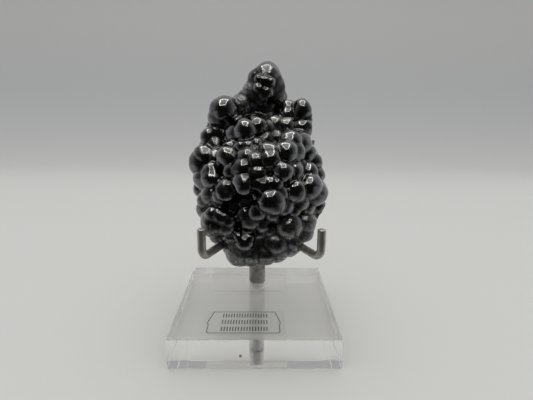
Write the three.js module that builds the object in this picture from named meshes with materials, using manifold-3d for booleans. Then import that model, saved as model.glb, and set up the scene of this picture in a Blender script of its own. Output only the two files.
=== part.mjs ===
// A botryoidal hematite standing on a clear block, cradled by two bent rods and a back rest.
// Units are millimetres and +Z is up. The origin is the middle of the block's underside,
// and -Y is the front, the side that the stone's rounded lumps face.
import * as THREE from 'three';
import { mergeVertices } from 'three/addons/utils/BufferGeometryUtils.js';
import Module from 'manifold-3d';

// Room left between one solid and the next.
const GAP = 0.3;

// The clear block.
const BLOCK_SIDE = 50.8;
const BLOCK_HEIGHT = 9.5;
const BLOCK_EDGE = 0.4;

// The post stands towards the back of the block.
const POST_X = 0.4;
const POST_Y = 13.2;
const POST_RADIUS = 3;
const POST_TOP = 38;
const POST_EDGE = 0.5;
const POST_SIDES = 20;

// The stud joins the post to a blind hole in the top of the block.
const STUD_RADIUS = 2.1;
const STUD_BOTTOM = 4.2;
const STUD_REACH = 7;
const STUD_EDGE = 0.4;
const HOLE_RADIUS = 2.55;
const DRIVE_RADIUS = 1.1;
const DRIVE_DEPTH = 2;

// The rods that cradle the stone.
const ROD_RADIUS = 1.2;
const ROD_SIDES = 8;
const ROD_HEIGHT = 33;
const BEND_RADIUS = 3;
const PRONG_TOP = 41.5;
const PRONG_Y = -21.8;
const LEFT_PRONG_X = -14.9;
const RIGHT_PRONG_X = 18.5;

// The third rod leans on the stone's back.
const REST_SEAT = 4;
const REST_KNEE = 44;
const REST_TOP = 58;
const REST_TOP_Y = 10.2;

// The printed film on the block.
const LABEL_WIDTH = 25;
const LABEL_DEPTH = 14;
const LABEL_THICK = 0.15;
const LABEL_CORNER = 1;
const LABEL_X = -3.4;
const LABEL_Y = -16.2;

// Lumps between these two radii get the finer facets.
const LARGE_LUMP = 4.1;
const BODY_LUMP = 5;

// The stone's lumps, each [x, y, z, radius]. The body is the massive ore behind them.
const BODY = [
  [0.5, 0, 60, 12.5],
  [2, -5, 56.5, 10.5],
  [1, 0, 48, 12],
  [10.5, 1.5, 55, 10.5],
  [-9.5, 1.5, 54, 10.5],
  [-1, 2.5, 69, 9.5],
  [9, 2.5, 70, 7.5],
  [-8.5, 2.5, 69, 7],
  [2.5, 2, 79, 6],
  [-4.3, -7.8, 38.9, 5.4],
  [5, -7.8, 38.9, 5.8],
  [12, -6.5, 42.5, 7],
  [-10, -7.5, 43.2, 6],
];

const CROWN = [
  [3, 0, 83.1, 4.6],
  [2.9, -1.5, 80.8, 4],
  [1.5, -3.6, 79.1, 2.5],
  [0.3, -0.3, 82.4, 3],
  [7.9, 2, 77.4, 2.8],
  [-0.2, 0, 78.5, 4],
];

const SHOULDERS = [
  [-9.7, -5, 72.7, 4.6],
  [-10.9, -4.5, 70.9, 3.7],
  [13.9, -3.5, 73.5, 3.1],
  [14.7, -2.5, 70.9, 2.9],
  [14.4, -4, 67.4, 3.1],
  [-2.7, -10, 67.1, 4],
  [-5.4, -7, 67.1, 3.5],
];

const MIDDLE = [
  [9.8, -11, 64.3, 3.6],
  [12.6, -8, 63.3, 3.6],
  [9.6, -14.5, 61.2, 3.7],
  [-8.4, -12.5, 59.7, 3.4],
  [-2.3, -15, 60.2, 2.5],
  [3.8, -17, 59.7, 3.2],
  [2, -13, 63, 3],
  [7.9, -17.5, 56.2, 3.3],
  [-7.3, -13, 55.6, 2.9],
  [-3.1, -17.5, 52.9, 3.8],
  [1.5, -16.8, 52.5, 3],
  [-9.5, -13.5, 49.2, 3.3],
  [12, -10.5, 55.6, 2.6],
];

const LEFT_EDGE = [
  [-15.1, -5, 65.1, 2.7],
  [-12.1, -5.5, 61.9, 3],
  [-16.4, -7, 58, 4.3],
  [-14.5, -9.5, 53.8, 3.8],
  [-17.6, -4, 49.1, 3.1],
  [-15.1, -10, 46.8, 2.9],
  [-15.6, -9, 43.7, 3.4],
  [-10.8, -14.5, 41.3, 4],
  [-15, 1, 61.5, 3.3],
];

const RIGHT_EDGE = [
  [15.1, -6.5, 60.4, 2.6],
  [17.4, -5.5, 57.5, 2.9],
  [18.8, -6, 53.6, 2.5],
  [17.2, -11.5, 49.6, 4.4],
  [12.1, -16, 50.2, 3.4],
  [19.2, -6, 43.8, 2.8],
  [17.6, -1, 50, 3.6],
];

const NOSE = [
  [4.9, -19.5, 48.4, 4.1],
  [6.9, -18.2, 49.3, 3],
  [0.8, -17, 45.2, 3],
  [8.7, -13, 43.4, 3],
];

const SKIRT = [
  [-3, -15.5, 35.6, 3.4],
  [-4.6, -12.8, 30.6, 4.3],
  [-1.4, -12.5, 30.2, 3.8],
  [4.9, -13.4, 33.3, 3.7],
  [9.5, -15.5, 39.1, 3.7],
  [14.9, -13, 39.7, 2.9],
  [11.1, -16, 33.9, 2.3],
  [6, -12.3, 30.3, 2.9],
  [-9, -15, 35.7, 2.2],
];

// The rough break at the back and at two edges: where a block of the ore came away,
// the way the new surface faces, and how wide the missing block was.
const BREAKS = [
  { at: [0, 8.6, 60], faces: [0.1, 1, 0.06], width: 80 },
  { at: [0, 6.6, 45], faces: [-0.14, 0.86, -0.5], width: 80 },
  { at: [-9, 6.4, 56], faces: [-0.52, 0.85, -0.1], width: 60 },
  { at: [11, 6.6, 54], faces: [0.55, 0.83, 0.08], width: 60 },
  { at: [1, 7.4, 73], faces: [0.04, 0.9, 0.42], width: 60 },
  { at: [1, 0, 37.2], faces: [0.05, 0.42, -0.9], width: 20 },
  { at: [21, -5, 41.9], faces: [0.85, -0.2, -0.48], width: 16 },
  { at: [17.2, -2, 71], faces: [1, 0, 0], width: 13 },
];

const wasm = await Module();
wasm.setup();

// A closed geometry as a solid that can be joined and cut.
function toSolid(geometry) {
  const bare = geometry.clone();
  bare.deleteAttribute('normal');
  bare.deleteAttribute('uv');
  const merged = mergeVertices(bare, 1e-4);
  const vertProperties = new Float32Array(merged.attributes.position.array);
  const triVerts = new Uint32Array(merged.index.array);
  return new wasm.Manifold(new wasm.Mesh({ numProp: 3, vertProperties, triVerts }));
}

// A solid as a geometry that a mesh can hold.
function toGeometry(solid) {
  const mesh = solid.getMesh();
  const geometry = new THREE.BufferGeometry();
  geometry.setAttribute('position', new THREE.BufferAttribute(mesh.vertProperties, 3));
  geometry.setIndex(new THREE.BufferAttribute(mesh.triVerts, 1));
  geometry.computeVertexNormals();
  return geometry;
}

// A round shape about the Z axis from its [radius, height] outline, lowest point first.
function turned(outline, sides) {
  const points = outline.map(([radius, height]) => new THREE.Vector2(radius, height));
  return new THREE.LatheGeometry(points, sides).rotateX(Math.PI / 2);
}

function cylinder(radius, bottom, top, sides) {
  return turned([[0, bottom], [radius, bottom], [radius, top], [0, top]], sides);
}

// A round rod that follows a path of straight runs and bends.
function rod(path, steps) {
  const section = new THREE.Shape();
  for (let side = 0; side < ROD_SIDES; side += 1) {
    const angle = (side / ROD_SIDES) * 2 * Math.PI;
    const x = ROD_RADIUS * Math.cos(angle);
    const y = ROD_RADIUS * Math.sin(angle);
    if (side === 0) section.moveTo(x, y);
    else section.lineTo(x, y);
  }
  section.closePath();
  return new THREE.ExtrudeGeometry(section, { steps, extrudePath: path });
}

// One rounded lump. Its facets lie half inside and half outside the true ball.
function lump([x, y, z, radius]) {
  const detail = LARGE_LUMP <= radius && radius < BODY_LUMP ? 2 : 1;
  const swell = 1 + 0.08 / (detail + 1) ** 2;
  const ball = new THREE.IcosahedronGeometry(radius * swell, detail);
  ball.translate(x, y, z);
  return toSolid(ball);
}

// The block of ore that came away at one break.
function chip({ at, faces, width }) {
  const block = new THREE.BoxGeometry(width, width, width);
  block.translate(0, 0, width / 2);
  const outward = new THREE.Vector3(...faces).normalize();
  const up = new THREE.Vector3(0, 0, 1);
  block.applyQuaternion(new THREE.Quaternion().setFromUnitVectors(up, outward));
  block.translate(...at);
  return toSolid(block);
}

function hematite() {
  const lumps = [
    ...BODY, ...CROWN, ...SHOULDERS, ...MIDDLE, ...LEFT_EDGE, ...RIGHT_EDGE, ...NOSE, ...SKIRT,
  ];
  const grown = lumps.map(lump).reduce((all, one) => all.add(one));
  return toGeometry(BREAKS.reduce((all, one) => all.subtract(chip(one)), grown));
}

// The clear block, with its edges eased and a blind hole for the stud.
function base() {
  const half = BLOCK_SIDE / 2 - BLOCK_EDGE;
  const square = new THREE.Shape();
  square.moveTo(-half, -half);
  square.lineTo(half, -half);
  square.lineTo(half, half);
  square.lineTo(-half, half);
  square.closePath();
  const slab = new THREE.ExtrudeGeometry(square, {
    depth: BLOCK_HEIGHT - 2 * BLOCK_EDGE,
    bevelThickness: BLOCK_EDGE,
    bevelSize: BLOCK_EDGE,
    bevelSegments: 1,
  });
  slab.translate(0, 0, BLOCK_EDGE);
  const hole = cylinder(HOLE_RADIUS, STUD_BOTTOM - GAP, BLOCK_HEIGHT + 1, POST_SIDES);
  hole.translate(POST_X, POST_Y, 0);
  return toGeometry(toSolid(slab).subtract(toSolid(hole)));
}

// The direction from the post to a prong, along the block.
function reach(prongX) {
  return new THREE.Vector3(prongX - POST_X, PRONG_Y - POST_Y, 0);
}

// The post, tapped below for the stud and bored above for the back rest.
function post() {
  const tap = STUD_RADIUS + GAP;
  const bore = ROD_RADIUS + GAP;
  const tapTop = BLOCK_HEIGHT + STUD_REACH + GAP;
  return turned([
    [0, tapTop],
    [tap, tapTop],
    [tap, BLOCK_HEIGHT],
    [POST_RADIUS, BLOCK_HEIGHT],
    [POST_RADIUS, POST_TOP - POST_EDGE],
    [POST_RADIUS - POST_EDGE, POST_TOP],
    [bore, POST_TOP],
    [bore, POST_TOP - REST_SEAT],
    [0, POST_TOP - REST_SEAT],
  ], POST_SIDES);
}

// A headless stud with eased ends and a six-sided drive in its upper end.
function stud() {
  const top = BLOCK_HEIGHT + STUD_REACH;
  const body = turned([
    [0, STUD_BOTTOM],
    [STUD_RADIUS - STUD_EDGE, STUD_BOTTOM],
    [STUD_RADIUS, STUD_BOTTOM + STUD_EDGE],
    [STUD_RADIUS, top - STUD_EDGE],
    [STUD_RADIUS - STUD_EDGE, top],
    [0, top],
  ], POST_SIDES);
  const drive = cylinder(DRIVE_RADIUS, top - DRIVE_DEPTH, top + 1, 6);
  return toGeometry(toSolid(body).subtract(toSolid(drive)));
}

// An arm runs out level from the side of the post and bends up into a prong.
function arm(prongX) {
  const direction = reach(prongX).normalize();
  const length = reach(prongX).length();
  const along = (distance, height) => direction.clone().multiplyScalar(distance).setZ(height);
  const start = along(POST_RADIUS + GAP, ROD_HEIGHT);
  const bendStart = along(length - BEND_RADIUS, ROD_HEIGHT);
  const bendEnd = along(length, ROD_HEIGHT + BEND_RADIUS);
  // A quarter circle as one cubic curve.
  const pull = 0.5523 * BEND_RADIUS;
  const path = new THREE.CurvePath();
  path.add(new THREE.LineCurve3(start, bendStart));
  path.add(new THREE.CubicBezierCurve3(
    bendStart,
    along(length - BEND_RADIUS + pull, ROD_HEIGHT),
    along(length, ROD_HEIGHT + BEND_RADIUS - pull),
    bendEnd,
  ));
  path.add(new THREE.LineCurve3(bendEnd, along(length, PRONG_TOP)));
  return rod(path, 25);
}

// The back rest stands in the post's upper bore and leans forward on to the stone.
function backRest() {
  const foot = new THREE.Vector3(0, 0, POST_TOP - REST_SEAT + GAP);
  const knee = new THREE.Vector3(0, 0, REST_KNEE);
  const tip = new THREE.Vector3(0, REST_TOP_Y - POST_Y, REST_TOP);
  const bend = 3;
  const path = new THREE.CurvePath();
  const before = knee.clone().lerp(foot, bend / knee.distanceTo(foot));
  const after = knee.clone().lerp(tip, bend / knee.distanceTo(tip));
  path.add(new THREE.LineCurve3(foot, before));
  path.add(new THREE.QuadraticBezierCurve3(before, knee, after));
  path.add(new THREE.LineCurve3(after, tip));
  return rod(path, 10);
}

// A thin film with rounded corners, flat on the block.
function label() {
  const x = LABEL_WIDTH / 2;
  const y = LABEL_DEPTH / 2;
  const film = new THREE.Shape();
  film.moveTo(-x + LABEL_CORNER, -y);
  film.lineTo(x - LABEL_CORNER, -y);
  film.quadraticCurveTo(x, -y, x, -y + LABEL_CORNER);
  film.lineTo(x, y - LABEL_CORNER);
  film.quadraticCurveTo(x, y, x - LABEL_CORNER, y);
  film.lineTo(-x + LABEL_CORNER, y);
  film.quadraticCurveTo(-x, y, -x, y - LABEL_CORNER);
  film.lineTo(-x, -y + LABEL_CORNER);
  film.quadraticCurveTo(-x, -y, -x + LABEL_CORNER, -y);
  return new THREE.ExtrudeGeometry(film, {
    depth: LABEL_THICK,
    bevelEnabled: false,
    curveSegments: 3,
  });
}

const ORE = new THREE.MeshStandardMaterial({ color: 0x2b2b2e, roughness: 0.12, metalness: 1 });
const STEEL = new THREE.MeshStandardMaterial({ color: 0x8f8b86, roughness: 0.38, metalness: 1 });
const CLEAR = new THREE.MeshStandardMaterial({
  color: 0xe8ecef,
  roughness: 0.05,
  metalness: 0,
  transparent: true,
  opacity: 0.3,
});
const FILM = new THREE.MeshStandardMaterial({ color: 0xd9dadb, roughness: 0.4, metalness: 0 });

function piece(name, geometry, material, position = [0, 0, 0]) {
  const mesh = new THREE.Mesh(geometry, material);
  mesh.name = name;
  mesh.position.set(...position);
  return mesh;
}

const stand = new THREE.Group();
const postPlace = [POST_X, POST_Y, 0];
stand.add(piece('base', base(), CLEAR));
stand.add(piece('label', label(), FILM, [LABEL_X, LABEL_Y, BLOCK_HEIGHT]));
stand.add(piece('stud', stud(), STEEL, postPlace));
stand.add(piece('post', post(), STEEL, postPlace));
stand.add(piece('arm_left', arm(LEFT_PRONG_X), STEEL, postPlace));
stand.add(piece('arm_right', arm(RIGHT_PRONG_X), STEEL, postPlace));
stand.add(piece('back_rest', backRest(), STEEL, postPlace));

const specimen = new THREE.Group();
specimen.add(stand);
specimen.add(piece('hematite', hematite(), ORE));

export default specimen;
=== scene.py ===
"""A botryoidal hematite on a clear block, cradled by a post, two bent arms and a back rest.

Shapes are worked in millimetres, in the stand's own frame, and each piece is scaled to metres as it
enters the scene.
"""

import math

import bmesh
import bpy
import numpy as np
from mathutils import Matrix, Vector


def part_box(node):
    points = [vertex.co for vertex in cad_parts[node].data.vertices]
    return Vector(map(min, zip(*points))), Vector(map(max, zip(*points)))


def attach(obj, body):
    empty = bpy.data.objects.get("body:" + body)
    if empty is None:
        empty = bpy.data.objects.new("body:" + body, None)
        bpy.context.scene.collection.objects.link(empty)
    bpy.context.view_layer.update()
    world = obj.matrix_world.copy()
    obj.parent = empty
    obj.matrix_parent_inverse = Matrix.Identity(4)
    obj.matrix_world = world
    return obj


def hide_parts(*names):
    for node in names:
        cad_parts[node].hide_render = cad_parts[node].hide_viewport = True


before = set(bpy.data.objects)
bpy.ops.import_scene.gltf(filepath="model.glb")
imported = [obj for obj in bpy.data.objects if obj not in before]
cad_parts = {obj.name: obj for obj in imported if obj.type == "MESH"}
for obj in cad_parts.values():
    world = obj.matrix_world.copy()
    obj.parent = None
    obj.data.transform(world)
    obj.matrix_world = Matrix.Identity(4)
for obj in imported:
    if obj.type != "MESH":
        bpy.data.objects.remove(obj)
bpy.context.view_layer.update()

MM = 0.001

# ---------------------------------------------------------------- driving sizes, millimetres

# The view: in front of the stand and a little above it.
VIEW_WIDTH_PX = 533
VIEW_FOCAL_PX = 390
SENSOR_WIDTH = 36
EYE = (1.35, -124, 75)
EYE_TURN, EYE_TILT, EYE_ROLL = (math.radians(angle) for angle in (0.95, 13.85, 0.6))

# How finely round shapes are cut, and the angle at which two faces start to meet in a crisp line.
ROD_SIDES = 40
POST_SIDES = 72
CRISP_ANGLE = 35
BLOCK_CRISP_ANGLE = 8
THREAD_CRISP_ANGLE = 20

# The rods. An arm's braze starts wide, this far from the post's middle, and narrows in two steps.
ROD_RADIUS = 1.2
ROD_END_EASE = 0.2
BEND_RADIUS = 3
BRAZE_START = 2.6
BRAZE_STEPS = (0.6, 0.5)
BRAZE_SWELL = 1.5
BRAZE_SHOULDER = 0.78
REST_KNEE = 44
REST_LEAN = math.radians(12.1)
REST_BEND_RADIUS = 28.3
REST_END_EASE = 0.35
REST_SHORT = 0.3

# The post, with its tool marks, the tap for the stud and the bore for the back rest.
POST_EDGE = 0.4
MARKS_FROM_END = 1
MARKS_APART = 0.6
MARK_DEPTH = 0.02
TAP_RADIUS = 2.2
TAP_TOP = 16.8
BORE_RADIUS = ROD_RADIUS + 0.05
BORE_DEPTH = 4

# The block and what is in and on it. AIR keeps two faces that touch from lying in one plane.
BLOCK_EDGE = 0.18
HOLE_RADIUS = 2.55
HOLE_FLOOR = 3.9
DRILL_TOP = 12
STUD_PITCH = 0.7
STUD_THREAD = 0.36
SOCKET_RADIUS = 1.1
SOCKET_DEPTH = 2
FILM_CORNER = 1
AIR = 0.02

# The stone's lumps, each (x, y, z, radius). The body is the massive ore behind them.
BODY = [
    (0.5, 0, 60, 12.5), (2, -5, 56.5, 10.5), (1, 0, 48, 12), (10.5, 1.5, 55, 10.5),
    (-9.5, 1.5, 54, 10.5), (-1, 3.5, 68, 7.5), (8, 3.5, 68.5, 6.5), (-8.5, 2.5, 69, 7),
    (2.5, 2, 79, 6), (-4.3, -7.8, 38.9, 5.4), (5, -7.8, 38.9, 5.8), (12, -6.5, 42.5, 7),
    (-10, -7.5, 43.2, 6), (0, -10.5, 33.5, 5), (1.5, 3.4, 72, 7.2), (-5, -8.8, 44.4, 5),
    (-3, -8.4, 40.2, 5), (2.2, -8.2, 40.8, 4.8), (-6.3, -11.4, 45.2, 3.4), (-4, -11.6, 41.8, 3.3),
    (-2, -12.2, 39.2, 2.8), (-3, -12, 46.6, 3.6),
]
CROWN = [
    (3.1, 0, 83.15, 4.3), (3, 0.2, 79.8, 4.2), (0.8, -3.4, 82, 1.5), (2.4, -3.9, 81.6, 1.7),
    (3.9, -3.6, 81.4, 1.7), (0.9, -3.8, 79.4, 1.8), (2.6, -3, 78.2, 2.6), (1.3, 0, 81.8, 3.7),
    (4.7, 0.2, 81.2, 3.6), (0.3, -0.3, 82.2, 3), (5.9, 1, 80.1, 2.9), (6.9, 2, 77.2, 2.8),
    (-0.2, 0, 78.5, 4), (-2.7, 2, 76.4, 3.4), (-4.9, 3, 74.6, 3.5), (2, -0.6, 76.7, 3.6),
    (2, 0, 75, 3.3), (5.4, 1, 77.1, 3.7),
]
SHOULDERS = [
    (-9.5, -5, 72.9, 4.5), (-10.9, -4.5, 70.9, 3.7), (-4.4, -1, 74.4, 1.9), (-1.4, 2, 73.7, 2.6),
    (9.6, -2.6, 74, 2.4), (9.3, -3.8, 72.3, 2.3), (13.7, -3.5, 73.4, 3.1), (14.7, -2.5, 70.9, 2.9),
    (14.2, -4.4, 67.8, 3.2), (15.7, -1.5, 63.9, 2.5), (12.3, 0, 70.8, 2.8), (12.6, -4, 71.8, 2.4),
]
UPPER_FACE = [
    (3.6, 0, 70.2, 3.4), (-0.1, -5, 69.6, 3), (-2.9, -10, 67.3, 3.7), (-5.2, -7.4, 66.2, 4.2),
    (0.1, -8.6, 68.4, 3.3), (2.6, -6.6, 67.6, 3.4), (5.6, -4.4, 68.9, 3.4), (9, -4.2, 68.2, 3.6),
    (5.8, -8, 65, 2.8), (9.8, -11, 64.3, 3.7), (12.6, -7.4, 63.8, 4), (2.6, -8.8, 64.2, 3.2),
    (8.4, -14.3, 61.9, 3.7), (10.8, -12.4, 61.4, 3.6), (-4.2, -13.7, 63.1, 2.1),
    (-2.5, -14, 63.1, 2.3), (0.4, -13.4, 63.5, 2.6), (-7.2, -10.8, 62.6, 2.6),
]
LEFT_EDGE = [
    (-14.1, -5, 65.3, 2.8), (-11.7, -4.2, 66, 3.3), (-15.2, -7.6, 60.2, 3.3),
    (-16.3, -6.2, 57.4, 4.2), (-12.8, -10.2, 55.2, 3.5), (-12.7, -11.4, 53.7, 3.5),
    (-15, -8.4, 53, 3.9), (-7.8, -12.4, 60.1, 3.6), (-12.1, -5.5, 62.3, 3.5),
    (-11.6, -7.6, 59, 3.6),
]
MIDDLE = [
    (-2.7, -15.3, 60.3, 3), (-0.4, -14.6, 62.2, 2.1), (0.1, -16.6, 59.2, 3), (3.7, -15, 61.5, 3.5),
    (3.9, -16.4, 59.8, 3.5), (-3.1, -16.2, 57.1, 3.7), (-4.5, -16.4, 57.4, 2.5),
    (0.5, -17.1, 55.9, 3.7), (-1.3, -18.1, 56.2, 2.1), (7.4, -17.6, 56.8, 3.3),
    (-7, -15, 56.6, 2.5), (-6.4, -14, 54.6, 3), (0.5, -19.3, 53.9, 2.1), (2.1, -19.4, 53.4, 2.3),
    (3.9, -19.6, 54.1, 2.1), (5.5, -19.4, 53.7, 2.1), (-2.9, -17.9, 53.5, 3.7),
    (10.6, -14.6, 56.4, 3.2), (-5.6, -12.4, 59.4, 3.6), (7.6, -14.4, 58.6, 3.4),
]
LEFT_LOWER = [
    (-8.2, -15, 51.7, 3.1), (-8.4, -15.6, 50.4, 2.8), (-12.9, -11.2, 48.5, 3.5),
    (-9.7, -13.8, 48.6, 3.2), (-14.6, -10, 46.8, 3.1), (-14.7, -9, 43.7, 3.3),
    (-16.2, -4, 49.1, 3.3), (-8.4, -15, 40, 2.9), (-13.2, -8, 43.4, 3.1),
    (-12.4, -15.2, 43.9, 2.3), (-10.7, -15.9, 43.8, 2.2), (-9.1, -16.1, 43.1, 2.2),
    (-7.8, -15.8, 42, 2.3),
]
RIGHT_EDGE = [
    (15.1, -6.5, 60.6, 3), (17.2, -5.5, 57.7, 3.1), (15.2, -10.6, 55.8, 3.2),
    (12.4, -10.6, 56.8, 3.2), (18.1, -6, 54, 3), (17.3, -9.8, 49.4, 4.4), (15.6, -12, 51.8, 4.1),
    (10.9, -16, 51.2, 3.5), (12.2, -13.6, 47.8, 3.6), (15.1, -11, 45.4, 3), (19.2, -6, 43.8, 2.8),
    (18.3, -6, 40.5, 2.8),
]
NOSE = [
    (4.5, -19.5, 48.9, 4.25), (6.4, -18.6, 50.6, 3), (8, -16.5, 47.1, 3.1), (0.8, -17, 45.3, 3.2),
    (-1.9, -14.5, 42.8, 1.8), (10.8, -15, 45.4, 2.6), (8.7, -13, 43.4, 3), (-6.1, -7.5, 43.3, 4.3),
    (-5, -6, 38.6, 4.2), (1.6, -14.6, 49.4, 3.4),
]
SKIRT = [
    (-4.6, -11.5, 31.3, 5), (-7.1, -10.5, 32, 3.1), (-3.1, -14.9, 35.9, 3.5),
    (-4.8, -16.2, 37.4, 1.8), (-1.6, -16.2, 37.3, 1.8), (5.5, -11.5, 34.1, 4.7),
    (2.6, -11, 32.6, 4), (2, -9.5, 30, 4.2), (6.4, -9, 30.8, 4.1), (10.4, -9.5, 33, 4.3),
    (11.6, -11.5, 34.7, 3.4), (9.8, -13.5, 40, 4.5), (14.8, -11, 40.3, 3.8), (14.6, -11, 37.2, 3.2),
    (1.9, -13.5, 40.1, 2.4), (-5, -12.5, 38.5, 2.8), (4, -13, 38.4, 2.2), (1.1, -13.5, 37.6, 2.1),
    (-7.6, -13, 36.4, 2.5), (-9, -11, 33.8, 2.2), (-11.6, -12.3, 40.9, 5), (-11.1, -11, 35.9, 2.7),
    (-1.2, -12.2, 30.9, 4.5), (2.8, -12, 31, 4.2), (6.4, -11.4, 31.9, 3.9),
]
ROUND_THE_BACK = [
    (-17, 0, 55.5, 3.4), (-15.4, 2.5, 49.5, 3.6), (-15, 1, 61.5, 3.3), (-12.6, 1.5, 67.5, 3.2),
    (17.6, -1, 50, 3.6), (18, 0.5, 56, 3), (15.5, 2.5, 61.2, 3.2), (13.6, 3, 67, 3.2),
    (4.6, 4.4, 84, 3.2), (1, 4, 82.2, 3.4), (-13, -1, 44.8, 3.6), (15.4, -2.5, 44.6, 3.8),
    (6.5, 5.5, 76.5, 3.2), (-2.5, 6, 75.5, 3.2),
]
LUMPS = [
    *BODY, *CROWN, *SHOULDERS, *UPPER_FACE, *LEFT_EDGE, *MIDDLE, *LEFT_LOWER, *RIGHT_EDGE,
    *NOSE, *SKIRT, *ROUND_THE_BACK,
]

# Where the ore broke: a point on each new surface, the way it faces, and how wide the piece was
# that came away.
BREAKS = [
    ((0, 8.6, 60), (0.1, 1, 0.06), 80),
    ((0, 6.6, 45), (-0.14, 0.86, -0.5), 80),
    ((-9, 6.4, 56), (-0.52, 0.85, -0.1), 60),
    ((11, 6.6, 54), (0.55, 0.83, 0.08), 60),
    ((1, 7.4, 73), (0.04, 0.9, 0.42), 60),
    ((1, 0, 37.2), (0.05, 0.42, -0.9), 20),
    ((21, -5, 41.9), (0.85, -0.2, -0.48), 16),
    ((17.2, -2, 71), (1, 0, 0), 13),
]

# How finely the stone is worked, how softly one lump runs into the next, and how far from there it
# still counts as a crease.
GRAIN = 0.34
SETTLINGS = 3
SMOOTHING = 0.35
STEPS_PER_SETTLING = 2
BLEND = 0.15
CREASE = 0.45

# Young lumps grow in the gaps that a ball of radius WEB can't reach, but none in the dark neck
# under the crown.
WEB = 4
WEB_NEAR = 0.35
YOUNG_DEPTH = 1.5
YOUNG_LEAST = 2
YOUNG_MOST = 3.4
YOUNG_SPREAD = (0.6, 1.1)
YOUNG_SINK = 0.5
YOUNG_SEED = 5
NECK = (2.5, -3, 73)
NECK_RADIUS = 5.5

# How far the stone is warped, rippled and, where it broke, hackled, with how far apart the waves
# lie and their seeds. Then the room that it leaves round the arms.
WARP = 0.18
WARP_SIZE = 9
WARP_SEEDS = (1, 2, 3)
RIPPLE = 0.045
RIPPLE_SIZE = 3
RIPPLE_SEED = 4
RIPPLE_WAVES = 40
HACKLE = 0.5
HACKLE_COARSE = (7, 11)
HACKLE_FINE = (2.4, 12)
ROD_ROOM = 0.3

# The stone's colours: the polished skin, its creases darkened with painted shade, its satin places
# painted lighter as sheen, its fine cracks, and the break with its rust and bands.
SKIN_DARK = (0.14, 0.143, 0.152, 1)
SKIN_PALE = (0.23, 0.232, 0.24, 1)
SKIN_JOINT_AND_CREASE_SHADE = (0.03, 0.029, 0.029, 1)
PAINTED_SATIN_SHEEN = (0.4, 0.402, 0.41, 1)
SKIN_CRACK = (0.05, 0.05, 0.052, 1)
BREAK_DARK = (0.06, 0.06, 0.065, 1)
BREAK_PALE = (0.2, 0.195, 0.19, 1)
BREAK_RUST = (0.09, 0.045, 0.035, 1)
BREAK_BAND = (0.05, 0.045, 0.045, 1)
BANDING = 7
BAND_SWAY = 5

# The stone is satin rather than mirror-bright below a height, and its round patches each have a
# lustre of their own: x, z, radius, and 0 for mirror-bright to 1 for satin. Satin places are also
# painted lighter, as painted sheen.
MIRROR_ROUGHNESS = 0.072
SATIN_BELOW = (40, 47)
PATCHES = [
    (6.5, 70, 5, 0.5), (-12.5, 63.5, 4.5, 0.35), (-3.2, 38, 5, 0), (-11, 44.6, 7, 0.05),
    (-3.2, 78, 6, 0.95), (8.8, 78.6, 4.8, 0.95),
]
CRACKS_APART = 1.5

# The clear block, and how frosted its drilled hole is.
ACRYLIC_IOR = 1.49
HOLE_FROST = 0.75

# The sticker under the block, as its left front and right back corners, and the speck of dirt on
# the block's front face, as its x and z.
STICKER = ((-18, 11.6), (11.7, 25))
STICKER_COLOURS = ((0.9, 0.89, 0.84, 1), (0.95, 0.94, 0.9, 1))
SPECK = (-4.1, 4.3)
SPECK_REACH = (0.5, 0.72)
SPECK_COLOUR = (0.24, 0.17, 0.09, 1)

# The printed frame on the film, with a point at each side and its far corners cut by a slope, and
# the three rows of ticks in it.
FILM_COLOUR = (0.62, 0.63, 0.63, 1)
INK_COLOUR = (0.03, 0.03, 0.03, 1)
FRAME_HALF = Vector((11, 6.1))
FRAME_LINE = 0.32
FRAME_POINT = 1.2
FRAME_CORNER = 0.6
FRAME_SLOPE_FROM = 1.2
FRAME_SLOPE_IN = 1.1
ROW_APART = 3.8
ROW_HALF = 7.2
TICK_APART = 0.85
TICK_HALF = 1.1

# The sweep: floor, curve and wall. Its colour changes from floor to wall over SWEEP_SHADE in y, and
# up the wall over SWEEP_UPPER and SWEEP_HIGH in z. The curve's and wall's darker colours are
# painted shade.
SWEEP_HALF_WIDTH = 1400
SWEEP_FRONT = -900
SWEEP_BACK = 330
SWEEP_CURVE = 260
SWEEP_STEPS = 40
SWEEP_TOP = 900
SWEEP_DROP = 0.1
SWEEP_FLOOR_COLOUR = (0.88, 0.873, 0.832, 1)
SWEEP_WALL_PAINTED_SHADE = (0.502, 0.5, 0.502, 1)
SWEEP_UPPER_PAINTED_SHADE = (0.55, 0.545, 0.525, 1)
SWEEP_UPPER = (90, 230)
SWEEP_SHADE = (195, 590)
SWEEP_HIGH_PAINTED_SHADE = (0.45, 0.45, 0.455, 1)
SWEEP_HIGH = (240, 400)

# The curved cards that only reflections see: a black one in front, which is painted shade for the
# dark opening and, on its apron near the stand, for the shade under the stone; and a pale one all
# round.
CARD_STEPS = 64
CARD_RADIUS = 360
CARD_TOP = 350
CARD_LIFT = 10
CARD_HALF_ANGLE = math.radians(98)
CARD_SOFT_ANGLE = math.radians(70)
CARD_START = 15
CARD_FADE = 56
PALE_RADIUS = 420
PALE_TOP = 700
PALE_GLOW = (0.14, 0.72)
PALE_TURN = (math.radians(55), math.radians(140))

# The lamps: a square ring with a soft roof inside it, and a wide one far overhead.
RING_CENTRE = (0, -150, 340)
RING_SIZE = (270, 350)
RING_BAND = 0.08
RING_GLOW = 7.3
RING_COLOUR = (1, 0.965, 0.85)
ROOF_LIFT = 5
ROOF_GLOW = 0.4
OVERHEAD_PLACE = (0, -50, 900)
OVERHEAD_SIZE = (900, 900)
OVERHEAD_GLOW = 0.375
SURROUND_COLOUR = (0.97, 0.985, 1)
SURROUND_GLOW = 0.662
MOST_BOUNCES = 24


# ---------------------------------------------------------------- tools for shapes

def cad_size(node):
    """The lowest and highest corners of a CAD node, in millimetres."""
    low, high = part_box(node)
    return low / MM, high / MM


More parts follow.
